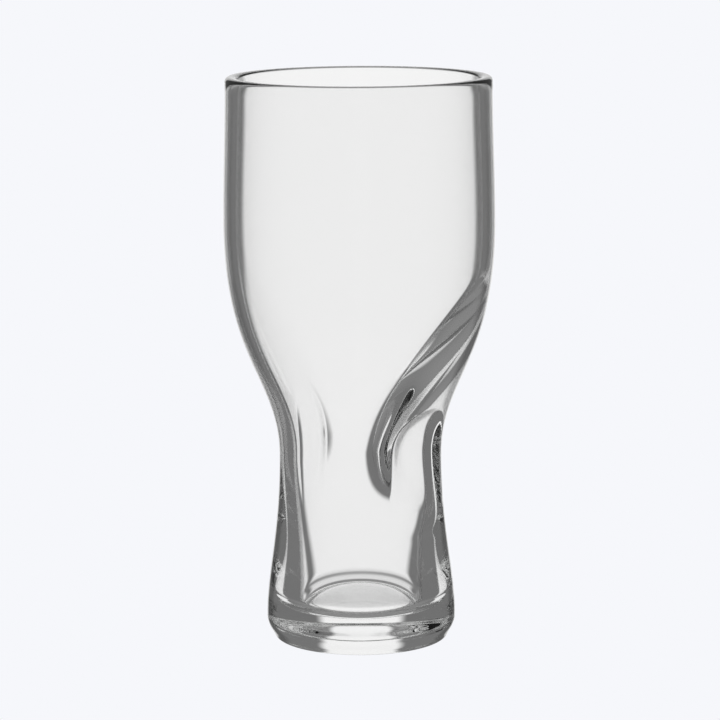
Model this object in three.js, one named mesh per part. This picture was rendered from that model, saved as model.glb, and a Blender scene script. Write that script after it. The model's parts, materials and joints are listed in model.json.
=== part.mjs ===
// Stemless pint glass, blown in one piece of clear glass: a tall bowl, a drawn-in waist with two pressed
// finger dents on opposite sides, a flared foot and a thick base. Millimetres, +Z up, front towards -Y.
// The origin is the centre of the foot, on the plane the glass stands on.
import * as THREE from 'three';
import { mergeVertices } from 'three/addons/utils/BufferGeometryUtils.js';

// outside
const height = 187;           // standing plane to the top of the rim
const rimRadius = 43.7;       // outer radius at the lip
const bowlRadius = 44.65;     // widest outer radius of the bowl
const bowlHeight = 139;       // height of that widest place
const bowlEase = 46;          // how far below it the bowl keeps its width before it tapers
const waistRadius = 26.9;     // narrowest outer radius
const waistHeight = 61.5;     // height of the waist
const waistEase = 26;         // how far above and below it the waist stays slim
const footRadius = 31.45;     // outer radius of the foot, just above its drawn-in lower edge
const footEdgeHeight = 7.2;   // height of that lower edge, where the foot starts to draw in
const footEase = 14.5;        // how far above the edge the foot keeps its width

// underside
const standRadius = 28.7;     // outer radius at the small rounded corner beside the standing ring
const standCorner = 0.7;      // size of that corner
const standWidth = 6;         // width of the flat ring the glass stands on
const puntDepth = 0.3;        // rise of the shallow hollow inside the ring

// walls
const rimWall = 4.1;          // wall at the lip
const bowlWall = 4.0;         // wall at the bowl's widest place
const waistWall = 4.5;        // wall at the waist, away from the dents
const footBore = 21;          // inner radius low down, above the rounded corner of the floor
const floorThickness = 10;    // glass under the inner floor
const floorCorner = 5;        // radius of the corner between inner floor and wall
const rimRound = 1.5;         // radius of the fire-polished edges of the lip

// finger dents: the dent in the outside, and the bulge that it raises on the inside
const dentAzimuth = 50;       // degrees from the front to the first dent, towards +X
const dentHeight = 66;        // height where a dent and its bulge are deepest
const dent = {
  depth: 5.5,                 // how far the outside is pushed in
  halfAngle: 28,              // half the angle it takes up, in degrees
  rise: 14.5,                 // from the deepest place up to its top edge
  fall: 30,                   // from the deepest place down to where it has run out
  curve: 3,                   // how flat its middle is
  edge: 1.3,                  // how softly its edge meets the wall
  lean: 0,                    // degrees it leans round for each millimetre above the deepest place
};
const bulge = { depth: 8.5, halfAngle: 57, rise: 60, fall: 29, curve: 2, edge: 2, lean: 0.5 };
const secondDepthShare = 0.38;// depth of the opposite dent, against the first
const secondWidthShare = 0.6; // its width, against the first

// facets
const sides = 64;
const wallSteps = 14;         // steps in each long curve of the wall
const edgeSteps = 4;          // steps in each small rounding

// points of a Bezier curve in the section, without its first one
function bend(a, b, c, d, steps) {
  const curve = new THREE.CubicBezierCurve(
    new THREE.Vector2(...a), new THREE.Vector2(...b), new THREE.Vector2(...c), new THREE.Vector2(...d));
  return curve.getPoints(steps).slice(1);
}

function outerSection() {
  const standOuter = standRadius - standCorner;
  const standInner = standOuter - standWidth;
  const points = [new THREE.Vector2(0, puntDepth)];
  points.push(...bend([0, puntDepth], [standInner * 0.45, puntDepth], [standInner * 0.8, 0.1 * puntDepth],
    [standInner, 0], edgeSteps));
  points.push(new THREE.Vector2(standOuter, 0));
  const cornerTop = [standRadius + 0.35 * standCorner, 0.9 * standCorner];
  const drawWidth = footRadius - cornerTop[0];
  const drawHeight = footEdgeHeight - cornerTop[1];
  points.push(...bend([standOuter, 0], [standRadius - 0.45 * standCorner, 0],
    [standRadius, 0.3 * standCorner], cornerTop, edgeSteps));
  points.push(...bend(cornerTop, [cornerTop[0] + 0.3 * drawWidth, cornerTop[1] + 0.32 * drawHeight],
    [footRadius, footEdgeHeight - 0.5 * drawHeight], [footRadius, footEdgeHeight], edgeSteps + 1));
  points.push(...bend([footRadius, footEdgeHeight], [footRadius, footEdgeHeight + footEase],
    [waistRadius, waistHeight - waistEase], [waistRadius, waistHeight], wallSteps - 2));
  points.push(...bend([waistRadius, waistHeight], [waistRadius, waistHeight + waistEase],
    [bowlRadius, bowlHeight - bowlEase], [bowlRadius, bowlHeight], wallSteps));
  const lipBase = height - rimRound;
  points.push(...bend([bowlRadius, bowlHeight], [bowlRadius, bowlHeight + (lipBase - bowlHeight) / 3],
    [rimRadius, lipBase - (lipBase - bowlHeight) / 3], [rimRadius, lipBase], edgeSteps));
  const k = 0.45 * rimRound;
  points.push(...bend([rimRadius, lipBase], [rimRadius, height - k], [rimRadius - k, height],
    [rimRadius - rimRound, height], 3));
  return points;
}

// from the lip down to the middle of the inner floor
function innerSection() {
  const lip = rimRadius - rimWall;
  const lipBase = height - rimRound;
  const k = 0.45 * rimRound;
  const points = [new THREE.Vector2(lip + rimRound, height)];
  points.push(...bend([lip + rimRound, height], [lip + k, height], [lip, height - k], [lip, lipBase], 3));
  const bowl = bowlRadius - bowlWall;
  points.push(...bend([lip, lipBase], [lip, lipBase - (lipBase - bowlHeight) / 3],
    [bowl, bowlHeight + (lipBase - bowlHeight) / 3], [bowl, bowlHeight], edgeSteps));
  const waist = waistRadius - waistWall;
  points.push(...bend([bowl, bowlHeight], [bowl, bowlHeight - bowlEase],
    [waist, waistHeight + waistEase], [waist, waistHeight], wallSteps));
  const boreBase = floorThickness + floorCorner;
  const slack = (waistHeight - boreBase) / 3;
  points.push(...bend([waist, waistHeight], [waist, waistHeight - slack],
    [footBore, boreBase + slack], [footBore, boreBase], wallSteps - 4));
  const round = 0.45 * floorCorner;
  points.push(...bend([footBore, boreBase], [footBore, boreBase - 0.55 * floorCorner],
    [footBore - round, floorThickness], [footBore - floorCorner, floorThickness], edgeSteps + 1));
  points.push(new THREE.Vector2(0, floorThickness));
  return points;
}

// how far the wall moves in at a place: a steep arch above the deepest place, a long run-out below it
function pushAt(shape, azimuth, z) {
  let turn = azimuth - THREE.MathUtils.degToRad(dentAzimuth);
  const half = Math.round(turn / Math.PI);
  turn -= half * Math.PI;
  const second = Math.abs(half % 2) === 1;
  const reach = THREE.MathUtils.degToRad(shape.halfAngle) * (second ? secondWidthShare : 1);
  const over = Math.max(z - dentHeight, 0);
  const under = Math.max(dentHeight - z, 0);
  const across = (turn - THREE.MathUtils.degToRad(shape.lean) * over) / reach;
  const away = Math.min(Math.hypot(across, over / shape.rise), 1);
  const arch = (1 - away ** shape.curve) ** shape.edge;
  const runOut = 0.5 * (1 + Math.cos(Math.PI * Math.min(under / shape.fall, 1)));
  return shape.depth * arch * runOut * (second ? secondDepthShare : 1);
}

function glassBody() {
  const outer = outerSection();
  const section = [...outer, ...innerSection()];
  const geometry = new THREE.LatheGeometry(section, sides);
  geometry.rotateX(Math.PI / 2);
  const place = geometry.attributes.position;
  for (let i = 0; i < place.count; i += 1) {
    const inside = i % section.length >= outer.length;
    const x = place.getX(i);
    const y = place.getY(i);
    const radius = Math.hypot(x, y);
    if (radius < 1e-6) continue;
    const push = pushAt(inside ? bulge : dent, Math.atan2(x, -y), place.getZ(i));
    const shrink = 1 - push / radius;
    place.setXY(i, x * shrink, y * shrink);
  }
  geometry.deleteAttribute('uv');
  geometry.deleteAttribute('normal');
  const closed = mergeVertices(geometry, 1e-4);
  closed.computeVertexNormals();
  return closed;
}

const clearGlass = new THREE.MeshStandardMaterial({
  name: 'clear_glass', color: 0xe9eeec, roughness: 0.03, metalness: 0, transparent: true, opacity: 0.35,
});

const pintGlass = new THREE.Group();
pintGlass.name = 'pint_glass';
const body = new THREE.Mesh(glassBody(), clearGlass);
body.name = 'glass_body';
pintGlass.add(body);

export default pintGlass;
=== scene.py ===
import json
import math

import bpy
from mathutils import Matrix

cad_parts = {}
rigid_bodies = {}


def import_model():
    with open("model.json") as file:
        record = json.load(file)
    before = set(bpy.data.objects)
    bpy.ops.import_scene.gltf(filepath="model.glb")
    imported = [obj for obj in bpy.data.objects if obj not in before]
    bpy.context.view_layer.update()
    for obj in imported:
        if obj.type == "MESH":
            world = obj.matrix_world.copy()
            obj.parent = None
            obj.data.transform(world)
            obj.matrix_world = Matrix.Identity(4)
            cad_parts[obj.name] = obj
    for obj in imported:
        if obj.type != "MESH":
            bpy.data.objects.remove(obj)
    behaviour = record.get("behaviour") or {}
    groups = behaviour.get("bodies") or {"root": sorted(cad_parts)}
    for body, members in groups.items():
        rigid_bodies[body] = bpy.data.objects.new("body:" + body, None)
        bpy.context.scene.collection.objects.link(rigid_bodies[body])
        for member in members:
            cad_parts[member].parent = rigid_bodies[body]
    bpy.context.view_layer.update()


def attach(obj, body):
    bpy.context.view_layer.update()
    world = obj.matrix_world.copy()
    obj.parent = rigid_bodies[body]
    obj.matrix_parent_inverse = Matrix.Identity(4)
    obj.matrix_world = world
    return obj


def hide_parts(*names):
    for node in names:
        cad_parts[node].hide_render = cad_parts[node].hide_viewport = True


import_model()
print("frame loaded")

mm = 0.001
weld = 1e-6  # points closer than this are one point


def hexColour(code):
    # sRGB hex to the linear numbers that shaders work in
    parts = [int(code[i:i + 2], 16) / 255 for i in (1, 3, 5)]
    linear = [c / 12.92 if c <= 0.04045 else ((c + 0.055) / 1.055) ** 2.4 for c in parts]
    return (*linear, 1.0)


def addNode(tree, kind, settings=None, inputs=None):
    # adds one node, sets its options, and fills each input with a value or a link
    node = tree.nodes.new(kind)
    for name, value in (settings or {}).items():
        setattr(node, name, value)
    for key, value in (inputs or {}).items():
        socket = node.inputs[key]
        if isinstance(value, bpy.types.NodeSocket):
            tree.links.new(value, socket)
        else:
            socket.default_value = value
    return node


def bend(a, b, c, d, steps):
    # points along a Bezier curve of the section, without its first one
    points = []
    for i in range(1, steps + 1):
        t = i / steps
        s = 1 - t
        points.append(tuple(s ** 3 * a[k] + 3 * s * s * t * b[k] + 3 * s * t * t * c[k] + t ** 3 * d[k]
                            for k in (0, 1)))
    return points


# sizes in millimetres, angles in degrees, heights from the plane the glass stands on
glass = {
    "height": 187.0,
    "rimRadius": 43.7,
    "bowlRadius": 44.65,
    "bowlHeight": 139.0,
    "bowlEase": 46.0,
    "waistRadius": 26.9,
    "waistHeight": 61.5,
    "waistEase": 26.0,
    "footRadius": 31.45,
    "footEdgeHeight": 7.2,
    "footEase": 14.5,
    "standRadius": 28.7,
    "standCorner": 0.7,
    "standWidth": 6.0,
    "puntDepth": 0.3,
    "rimWall": 4.1,
    "bowlWall": 4.0,
    "waistWall": 4.5,
    "footBore": 21.0,
    "floorThickness": 10.0,
    "floorCorner": 5.0,
    "rimRound": 1.5,
    "roundHandle": 0.45,  # how far a rounding keeps off its corner, as a share of its size
    "dentAzimuth": 50.0,
    "dentHeight": 66.0,
    "dentDepth": 5.5,
    "dentHalfAngle": 28.0,
    "dentRise": 14.5,
    "dentFall": 30.0,
    "dentCurve": 3.0,
    "dentEdge": 1.3,
    "dentLean": 0.0,
    "bulgeDepth": 8.5,
    "bulgeHalfAngle": 57.0,
    "bulgeRise": 60.0,
    "bulgeFall": 29.0,
    "bulgeCurve": 2.0,
    "bulgeEdge": 2.0,
    "bulgeLean": 0.5,
    "secondDepthShare": 0.38,
    "secondWidthShare": 0.6,
    "sides": 240,
    "crowding": 0.27,  # radians that a column moves towards the dents at most
}


def glassSection(g):
    # outside from the middle of the underside up to the lip, then inside down to the middle of the floor
    height = g["height"]
    rim = g["rimRadius"]
    rimRound = g["rimRound"]
    corner = g["standCorner"]
    stand = g["standRadius"]
    standOuter = stand - corner
    standInner = standOuter - g["standWidth"]
    punt = g["puntDepth"]
    lipBase = height - rimRound
    lipHandle = g["roundHandle"] * rimRound
    third = (lipBase - g["bowlHeight"]) / 3

    # underside and foot
    cornerTop = (stand + 0.35 * corner, 0.9 * corner)
    foot = (g["footRadius"], g["footEdgeHeight"])
    drawWidth = foot[0] - cornerTop[0]
    drawHeight = foot[1] - cornerTop[1]
    outer = [(0.0, punt)]
    outer += bend((0, punt), (standInner * 0.45, punt), (standInner * 0.8, 0.1 * punt), (standInner, 0), 10)
    outer += bend((standInner, 0), (standInner + 2, 0), (standOuter - 2, 0), (standOuter, 0), 3)
    outer += bend((standOuter, 0), (stand - 0.45 * corner, 0), (stand, 0.3 * corner), cornerTop, 8)
    outer += bend(cornerTop, (cornerTop[0] + 0.3 * drawWidth, cornerTop[1] + 0.32 * drawHeight),
                  (foot[0], foot[1] - 0.5 * drawHeight), foot, 12)

    # waist, bowl and lip
    waist = (g["waistRadius"], g["waistHeight"])
    bowl = (g["bowlRadius"], g["bowlHeight"])
    outer += bend(foot, (foot[0], foot[1] + g["footEase"]), (waist[0], waist[1] - g["waistEase"]), waist, 60)
    outer += bend(waist, (waist[0], waist[1] + g["waistEase"]), (bowl[0], bowl[1] - g["bowlEase"]), bowl, 72)
    outer += bend(bowl, (bowl[0], bowl[1] + third), (rim, lipBase - third), (rim, lipBase), 14)
    outer += bend((rim, lipBase), (rim, height - lipHandle), (rim - lipHandle, height),
                  (rim - rimRound, height), 6)

    # inside of the lip and the bowl
    lip = rim - g["rimWall"]
    bowlIn = (bowl[0] - g["bowlWall"], bowl[1])
    waistIn = (waist[0] - g["waistWall"], waist[1])
    inner = bend((lip + rimRound + 0.2, height), (lip + lipHandle, height), (lip, height - lipHandle),
                 (lip, lipBase), 6)
    inner += bend((lip, lipBase), (lip, lipBase - third), (bowlIn[0], bowlIn[1] + third), bowlIn, 14)
    inner += bend(bowlIn, (bowlIn[0], bowlIn[1] - g["bowlEase"]), (waistIn[0], waistIn[1] + g["waistEase"]),
                  waistIn, 72)

    # bore and floor
    bore = g["footBore"]
    floor = g["floorThickness"]
    boreBase = floor + g["floorCorner"]
    slack = (waistIn[1] - boreBase) / 3
    cornerHandle = g["roundHandle"] * g["floorCorner"]
    flat = bore - g["floorCorner"]
    inner += bend(waistIn, (waistIn[0], waistIn[1] - slack), (bore, boreBase + slack), (bore, boreBase), 44)
    inner += bend((bore, boreBase), (bore, boreBase - 0.55 * g["floorCorner"]), (bore - cornerHandle, floor),
                  (flat, floor), 16)
    inner += bend((flat, floor), (0.6 * flat, floor), (0.3 * flat, floor), (0, floor), 8)
    return outer, inner


def sectionObject(g):
    outer, inner = glassSection(g)
    mesh = bpy.data.meshes.new("glassSection")
    points = outer + inner
    edges = [(i, i + 1) for i in range(len(points) - 1)]
    mesh.from_pydata([(r * mm, 0, z * mm) for r, z in points], edges, [])
    side = mesh.attributes.new("inside", "FLOAT", "POINT")
    side.data.foreach_set("value", [0.0] * len(outer) + [1.0] * len(inner))
    obj = bpy.data.objects.new("glassBody", mesh)
    bpy.context.scene.collection.objects.link(obj)
    return obj


treeSizes = (
    "Dent Azimuth", "Dent Height",
    "Dent Depth", "Dent Half Angle", "Dent Rise", "Dent Fall", "Dent Curve", "Dent Edge", "Dent Lean",
    "Bulge Depth", "Bulge Half Angle", "Bulge Rise", "Bulge Fall", "Bulge Curve", "Bulge Edge", "Bulge Lean",
    "Second Depth Share", "Second Width Share", "Crowding",
)


def glassTree():
    # turns the section about the upright axis, then pushes the wall in where the finger dents are
    tree = bpy.data.node_groups.new("blownGlassBody", "GeometryNodeTree")
    face = tree.interface
    face.new_socket("Section", in_out="INPUT", socket_type="NodeSocketGeometry")
    for name in treeSizes:
        face.new_socket(name, in_out="INPUT", socket_type="NodeSocketFloat")
    face.new_socket("Sides", in_out="INPUT", socket_type="NodeSocketInt")
    face.new_socket("Glass", in_out="INPUT", socket_type="NodeSocketMaterial")
    face.new_socket("Body", in_out="OUTPUT", socket_type="NodeSocketGeometry")
    given = addNode(tree, "NodeGroupInput").outputs
    section = given["Section"]
    # sockets by name; each step below is a result, an operation and what it works on
    v = {name: given[name] for name in (*treeSizes, "Sides")}
    v["count"] = addNode(tree, "GeometryNodeAttributeDomainSize", {"component": "MESH"},
                         {"Geometry": section}).outputs["Point Count"]
    v["index"] = addNode(tree, "GeometryNodeInputIndex").outputs[0]

    # a sheet with one column for each side and one row for each point of the section
    sheetSteps = [
        ("columns", "ADD", "Sides", 1),
        ("halfOn", "ADD", "index", 0.5),
        ("shareOn", "DIVIDE", "halfOn", "count"),
        ("column", "FLOOR", "shareOn"),
        ("before", "MULTIPLY", "column", "count"),
        ("left", "SUBTRACT", "index", "before"),
        ("row", "ROUND", "left"),
    ]
    for name, operation, *terms in sheetSteps:
        inputs = {i: v.get(term, term) for i, term in enumerate(terms)}
        v[name] = addNode(tree, "ShaderNodeMath", {"operation": operation}, inputs).outputs[0]
    sheet = addNode(tree, "GeometryNodeMeshGrid", None,
                    {"Size X": 1.0, "Size Y": 1.0, "Vertices X": v["columns"],
                     "Vertices Y": v["count"]}).outputs["Mesh"]
    position = addNode(tree, "GeometryNodeInputPosition").outputs[0]
    side = addNode(tree, "GeometryNodeInputNamedAttribute", {"data_type": "FLOAT"},
                   {"Name": "inside"}).outputs[0]
    point = addNode(tree, "GeometryNodeSampleIndex", {"data_type": "FLOAT_VECTOR", "domain": "POINT"},
                    {"Geometry": section, "Value": position, "Index": v["row"]}).outputs[0]
    v["inside"] = addNode(tree, "GeometryNodeSampleIndex", {"data_type": "FLOAT", "domain": "POINT"},
                          {"Geometry": section, "Value": side, "Index": v["row"]}).outputs[0]
    place = addNode(tree, "ShaderNodeSeparateXYZ", None, {0: point}).outputs
    v["radius"] = place[0]
    v["height"] = place[2]

    wallSteps = [
        # columns stand closer together at the dents
        ("round", "MULTIPLY", "column", 2 * math.pi),
        ("even", "DIVIDE", "round", "Sides"),
        ("centre", "RADIANS", "Dent Azimuth"),
        ("fromDent", "SUBTRACT", "even", "centre"),
        ("twice", "MULTIPLY", "fromDent", 2.0),
        ("swing", "SINE", "twice"),
        ("closer", "MULTIPLY", "Crowding", -1.0),
        ("azimuth", "MULTIPLY_ADD", "swing", "closer", "even"),
        # how far round from the nearer dent, which of the two it is, and how far above it
        ("whole", "SUBTRACT", "azimuth", "centre"),
        ("halves", "DIVIDE", "whole", math.pi),
        ("half", "ROUND", "halves"),
        ("turn", "MULTIPLY_ADD", "half", -math.pi, "whole"),
        ("second", "PINGPONG", "half", 1.0),
        ("narrower", "SUBTRACT", "Second Width Share", 1.0),
        ("width", "MULTIPLY_ADD", "second", "narrower", 1.0),
        ("weaker", "SUBTRACT", "Second Depth Share", 1.0),
        ("strength", "MULTIPLY_ADD", "second", "weaker", 1.0),
        ("level", "DIVIDE", "height", mm),
        ("above", "SUBTRACT", "level", "Dent Height"),
        ("over", "MAXIMUM", "above", 0.0),
        ("below", "SUBTRACT", "Dent Height", "level"),
        ("under", "MAXIMUM", "below", 0.0),
    ]
    for part in ("Dent", "Bulge"):
        # 1 at the deepest place, 0 past the edge: an arch above it, a long run-out below it
        wallSteps += [
            (part + "Half", "RADIANS", part + " Half Angle"),
            (part + "Reach", "MULTIPLY", part + "Half", "width"),
            (part + "Slant", "RADIANS", part + " Lean"),
            (part + "Drift", "MULTIPLY", part + "Slant", "over"),
            (part + "Off", "SUBTRACT", "turn", part + "Drift"),
            (part + "Across", "DIVIDE", part + "Off", part + "Reach"),
            (part + "Wide", "MULTIPLY", part + "Across", part + "Across"),
            (part + "Up", "DIVIDE", "over", part + " Rise"),
            (part + "Square", "MULTIPLY_ADD", part + "Up", part + "Up", part + "Wide"),
            (part + "Far", "SQRT", part + "Square"),
            (part + "Away", "MINIMUM", part + "Far", 1.0),
            (part + "Bend", "POWER", part + "Away", part + " Curve"),
            (part + "Near", "SUBTRACT", 1.0, part + "Bend"),
            (part + "Arch", "POWER", part + "Near", part + " Edge"),
            (part + "Down", "DIVIDE", "under", part + " Fall"),
            (part + "Share", "MINIMUM", part + "Down", 1.0),
            (part + "Angle", "MULTIPLY", part + "Share", math.pi),
            (part + "Wave", "COSINE", part + "Angle"),
            (part + "RunOut", "MULTIPLY_ADD", part + "Wave", 0.5, 0.5),
            (part + "Shape", "MULTIPLY", part + "Arch", part + "RunOut"),
            (part + "Full", "MULTIPLY", part + "Shape", part + " Depth"),
            (part + "Push", "MULTIPLY", part + "Full", "strength"),
        ]
    wallSteps += [
        # the dent on the outside, the bulge on the inside
        ("apart", "SUBTRACT", "BulgePush", "DentPush"),
        ("push", "MULTIPLY_ADD", "inside", "apart", "DentPush"),
        ("pushed", "MULTIPLY_ADD", "push", -mm, "radius"),
        ("held", "MAXIMUM", "pushed", 0.0),
        ("offAxis", "GREATER_THAN", "radius", weld),
        ("reach", "MULTIPLY", "held", "offAxis"),
        ("sine", "SINE", "azimuth"),
        ("cosine", "COSINE", "azimuth"),
        ("x", "MULTIPLY", "reach", "sine"),
        ("forward", "MULTIPLY", "reach", "cosine"),
        ("y", "MULTIPLY", "forward", -1.0),
    ]
    for name, operation, *terms in wallSteps:
        inputs = {i: v.get(term, term) for i, term in enumerate(terms)}
        v[name] = addNode(tree, "ShaderNodeMath", {"operation": operation}, inputs).outputs[0]
    at = addNode(tree, "ShaderNodeCombineXYZ", None, {0: v["x"], 1: v["y"], 2: v["height"]}).outputs[0]
    wall = addNode(tree, "GeometryNodeSetPosition", None, {"Geometry": sheet, "Position": at}).outputs[0]
    closed = addNode(tree, "GeometryNodeMergeByDistance", None,
                     {"Geometry": wall, "Distance": weld}).outputs[0]
    smooth = addNode(tree, "GeometryNodeSetShadeSmooth", None,
                     {"Geometry": closed, "Shade Smooth": True}).outputs[0]
    real = addNode(tree, "GeometryNodeRealizeInstances", None, {"Geometry": smooth}).outputs[0]
    done = addNode(tree, "GeometryNodeSetMaterial", None,
                   {"Geometry": real, "Material": given["Glass"]}).outputs[0]
    addNode(tree, "NodeGroupOutput", None, {0: done})
    return tree


def bakeTree(obj, tree, values):
    # runs the tree once and keeps its result as a plain mesh
    modifier = obj.modifiers.new("shape", "NODES")
    modifier.node_group = tree
    for item in tree.interface.items_tree:
        if item.in_out == "INPUT" and item.name in values:
            modifier[item.identifier] = values[item.name]
    ready = obj.evaluated_get(bpy.context.evaluated_depsgraph_get())
    mesh = bpy.data.meshes.new_from_object(ready)
    obj.modifiers.remove(modifier)
    obj.data = mesh
    return obj


# tint and levels of the clear glass, waves and haze in millimetres
finish = {
    "ior": 1.52,
    "tint": "#e9eae9",
    "tintDensity": 4.0,
    # painted shade: between these two facings the glass colour greys towards its edges, down to the share
    # below
    "edgeFrom": 0.60,  # 0 is seen square on, 1 edge on
    "edgeTo": 0.72,
    "paintedEdgeShade": 0.3,
    "waveSize": 14.0,
    "waveHeight": 0.004,
    "waveDetail": 1.0,
    "hazeSize": 30.0,
    "hazeDetail": 2.0,
    "hazeFrom": 0.0,
    "hazeTo": 0.012,
}


def clearGlass(f):
    # soda-lime glass, blown and fire-polished: clear and smooth as liquid, with painted shade greying its
    # colour where it is seen edge on, with the slow waves that hand blowing leaves and a faint unevenness in
    # its polish
    material = bpy.data.materials.new("blownClearGlass")
    material.use_nodes = True
    tree = material.node_tree
    shader = tree.nodes["Principled BSDF"]
    shader.inputs["IOR"].default_value = f["ior"]
    shader.inputs["Transmission Weight"].default_value = 1.0
    place = addNode(tree, "ShaderNodeTexCoord").outputs["Object"]
    # painted shade: the base colour goes from white to grey as the surface turns edge on to the view
    facing = addNode(tree, "ShaderNodeLayerWeight", None, {"Blend": 0.5}).outputs["Facing"]
    shade = addNode(tree, "ShaderNodeMapRange", {"interpolation_type": "SMOOTHSTEP"},
                    {"Value": facing, "From Min": f["edgeFrom"], "From Max": f["edgeTo"],
                     "To Min": 1.0, "To Max": f["paintedEdgeShade"]}).outputs[0]
    waves = addNode(tree, "ShaderNodeTexNoise", None,
                    {"Vector": place, "Scale": 1 / (f["waveSize"] * mm),
                     "Detail": f["waveDetail"]}).outputs[0]
    bump = addNode(tree, "ShaderNodeBump", None,
                   {"Height": waves, "Strength": 1.0, "Distance": f["waveHeight"] * mm}).outputs[0]
    haze = addNode(tree, "ShaderNodeTexNoise", None,
                   {"Vector": place, "Scale": 1 / (f["hazeSize"] * mm),
                    "Detail": f["hazeDetail"]}).outputs[0]
    polish = addNode(tree, "ShaderNodeMapRange", None,
                     {"Value": haze, "To Min": f["hazeFrom"], "To Max": f["hazeTo"]}).outputs[0]
    depth = addNode(tree, "ShaderNodeVolumeAbsorption", None,
                    {"Color": hexColour(f["tint"]), "Density": f["tintDensity"]}).outputs[0]
    tree.links.new(shade, shader.inputs["Base Color"])
    tree.links.new(bump, shader.inputs["Normal"])
    tree.links.new(polish, shader.inputs["Roughness"])
    tree.links.new(depth, tree.nodes["Material Output"].inputs["Volume"])
    return material


glassMaterial = clearGlass(finish)
body = sectionObject(glass)
sizes = {name: glass[name[0].lower() + name[1:].replace(" ", "")] for name in (*treeSizes, "Sides")}
bakeTree(body, glassTree(), {**sizes, "Glass": glassMaterial})
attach(body, "root")
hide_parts("glass_body")
print("glass body:", len(body.data.polygons), "faces")


# elevations and headings in degrees, the floor in metres
studio = {
    "floorColour": "#f6f7fb",
    "floorSize": 6.0,
    "floorDrop": 0.0004,
    "paleHalfAngle": 18.0,
    "paleEdge": 3.0,
    "paleLevel": 0.97,
    "greyLevel": 0.17,
    "skyFrom": 37.0,
    "skyTo": 64.0,
    "skyLevel": 0.8,
    "tableFrom": -27.0,
    "tableTo": -49.0,
    "tableLevel": 0.25,
    # pale panels: heading, lowest and highest elevation, and whether mirrored light shows them too;
    # heading 0 is behind the glass
    "panels": (
        (0.0, -37.0, 90.0, True),
        (-90.0, -24.0, 20.0, False),
        (135.0, -34.0, 4.0, False),
        (-45.0, -42.0, -10.0, False),
    ),
    "panelEdge": 2.0,
}


def paleFloor(s):
    mesh = bpy.data.meshes.new("paleFloor")
    half = s["floorSize"]
    corners = [(-half, -half, 0), (half, -half, 0), (half, half, 0), (-half, half, 0)]
    mesh.from_pydata(corners, [], [(0, 1, 2, 3)])
    obj = bpy.data.objects.new("paleFloor", mesh)
    bpy.context.scene.collection.objects.link(obj)
    obj.location.z = -s["floorDrop"]
    material = bpy.data.materials.new("paleSweep")
    material.use_nodes = True
    tree = material.node_tree
    tree.nodes.clear()
    glow = addNode(tree, "ShaderNodeEmission", None, {"Color": hexColour(s["floorColour"]), "Strength": 1.0})
    addNode(tree, "ShaderNodeOutputMaterial", None, {"Surface": glow.outputs[0]})
    obj.data.materials.append(material)
    obj.visible_transmission = False
    obj.visible_glossy = False
    obj.visible_diffuse = False
    return obj


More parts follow.
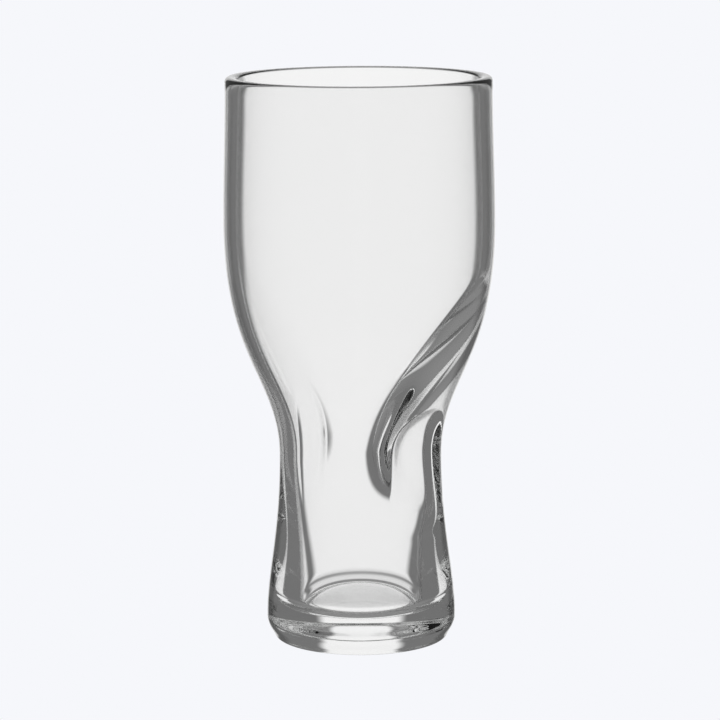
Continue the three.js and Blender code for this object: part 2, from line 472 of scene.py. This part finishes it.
def studioWorld(s):
    # pale panels in grey surroundings: what gives clear glass its bright middle and its dark edges
    world = bpy.data.worlds.new("studio")
    bpy.context.scene.world = world
    world.use_nodes = True
    tree = world.node_tree
    tree.nodes.clear()
    way = addNode(tree, "ShaderNodeTexCoord").outputs["Generated"]
    part = addNode(tree, "ShaderNodeSeparateXYZ", None, {0: way}).outputs
    path = addNode(tree, "ShaderNodeLightPath").outputs
    v = {"east": part[0], "north": part[1], "rise": part[2], "mirrored": path["Glossy Depth"], "pale": 0.0}
    inner = s["paleHalfAngle"] - s["paleEdge"]
    outer = s["paleHalfAngle"] + s["paleEdge"]
    soft = s["panelEdge"]
    # each step is a result, an operation and what it works on; a ramp goes from 0 to 1 between two values
    steps = [
        ("around", "ARCTAN2", "east", "north"),
        ("heading", "DEGREES", "around"),
        ("slope", "ARCSINE", "rise"),
        ("elevation", "DEGREES", "slope"),
        ("straight", "LESS_THAN", "mirrored", 0.5),
    ]
    for heading, low, high, mirrors in s["panels"]:
        steps += [
            ("from", "SUBTRACT", "heading", heading),
            ("wrapped", "WRAP", "from", 180.0, -180.0),
            ("off", "ABSOLUTE", "wrapped"),
            ("side", "ramp", "off", outer, inner),
            ("low", "ramp", "elevation", low - soft, low + soft),
            ("high", "ramp", "elevation", high + soft, high - soft),
            ("band", "MULTIPLY", "low", "high"),
            ("face", "MULTIPLY", "band", "side"),
            ("panel", "MULTIPLY", "face", 1.0 if mirrors else "straight"),
            ("pale", "MAXIMUM", "pale", "panel"),
        ]
    steps += [
        ("lit", "MULTIPLY_ADD", "pale", s["paleLevel"] - s["greyLevel"], s["greyLevel"]),
        ("sky", "ramp", "elevation", s["skyFrom"], s["skyTo"]),
        ("toSky", "SUBTRACT", s["skyLevel"], "lit"),
        ("withSky", "MULTIPLY_ADD", "sky", "toSky", "lit"),
        ("table", "ramp", "elevation", s["tableFrom"], s["tableTo"]),
        ("toTable", "SUBTRACT", s["tableLevel"], "withSky"),
        ("level", "MULTIPLY_ADD", "table", "toTable", "withSky"),
    ]
    for name, operation, *terms in steps:
        given = [v.get(term, term) for term in terms]
        if operation == "ramp":
            v[name] = addNode(tree, "ShaderNodeMapRange", {"interpolation_type": "SMOOTHSTEP"},
                              {"Value": given[0], "From Min": given[1], "From Max": given[2]}).outputs[0]
        else:
            v[name] = addNode(tree, "ShaderNodeMath", {"operation": operation},
                              dict(enumerate(given))).outputs[0]
    surround = addNode(tree, "ShaderNodeBackground", None,
                       {"Color": (1, 1, 1, 1), "Strength": v["level"]}).outputs[0]
    # the camera itself sees one pale sweep, the same as the floor
    seen = addNode(tree, "ShaderNodeBackground", None,
                   {"Color": hexColour(s["floorColour"]), "Strength": 1.0}).outputs[0]
    direct = path["Is Camera Ray"]
    both = addNode(tree, "ShaderNodeMixShader", None, {0: direct, 1: surround, 2: seen}).outputs[0]
    addNode(tree, "ShaderNodeOutputWorld", None, {"Surface": both})


paleFloor(studio)
studioWorld(studio)

# distance and height in metres, angles in degrees, focal length and sensor in millimetres
shot = {
    "distance": 1.0152,
    "height": 0.2685,
    "lookDown": 9.804,
    "roll": -0.28,
    "focal": 155.7,
    "sensor": 36.0,
}
cameraData = bpy.data.cameras.new("camera")
cameraData.lens = shot["focal"]
cameraData.sensor_width = shot["sensor"]
camera = bpy.data.objects.new("camera", cameraData)
bpy.context.scene.collection.objects.link(camera)
camera.location = (0.0, -shot["distance"], shot["height"])
tilt = Matrix.Rotation(math.radians(90 - shot["lookDown"]), 3, "X")
roll = Matrix.Rotation(math.radians(shot["roll"]), 3, "Z")
camera.rotation_euler = (tilt @ roll).to_euler()
bpy.context.scene.camera = camera
bpy.context.scene.view_settings.view_transform = "Standard"
# light runs many times along the inside of a thick wall before it leaves
cycles = bpy.context.scene.cycles
cycles.max_bounces = 32
cycles.glossy_bounces = 24
cycles.transmission_bounces = 24
print("studio and camera ready")
